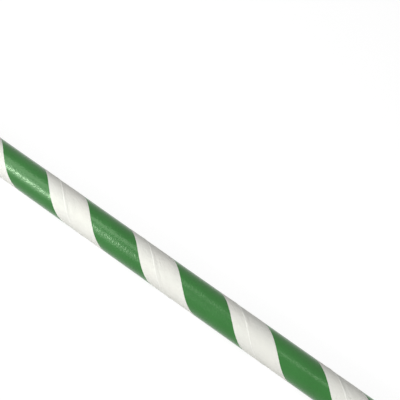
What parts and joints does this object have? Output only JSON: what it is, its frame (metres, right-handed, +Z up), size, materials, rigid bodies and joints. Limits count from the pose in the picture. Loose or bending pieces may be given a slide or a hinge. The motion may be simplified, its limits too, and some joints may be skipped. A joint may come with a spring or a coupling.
{
  "type": "paper drinking straw",
  "caption": "Spiral-wound paper tube with green and white helical stripes and a lapped outer ply, cut square at both ends, for drinking through.",
  "frame": {"origin": "midway between the cut ends, straight below the axis, on the surface the straw lies on", "axes": "+X along the straw's axis, +Z up from the surface it lies on"},
  "size_m": [0.197, 0.0062, 0.0061],
  "materials": {
    "printed_paper": "white food paper, satin, with one green stripe printed along the outer ply"
  },
  "bodies": {
    "root": {"paper_straw": "printed_paper"}
  },
  "joints": []
}
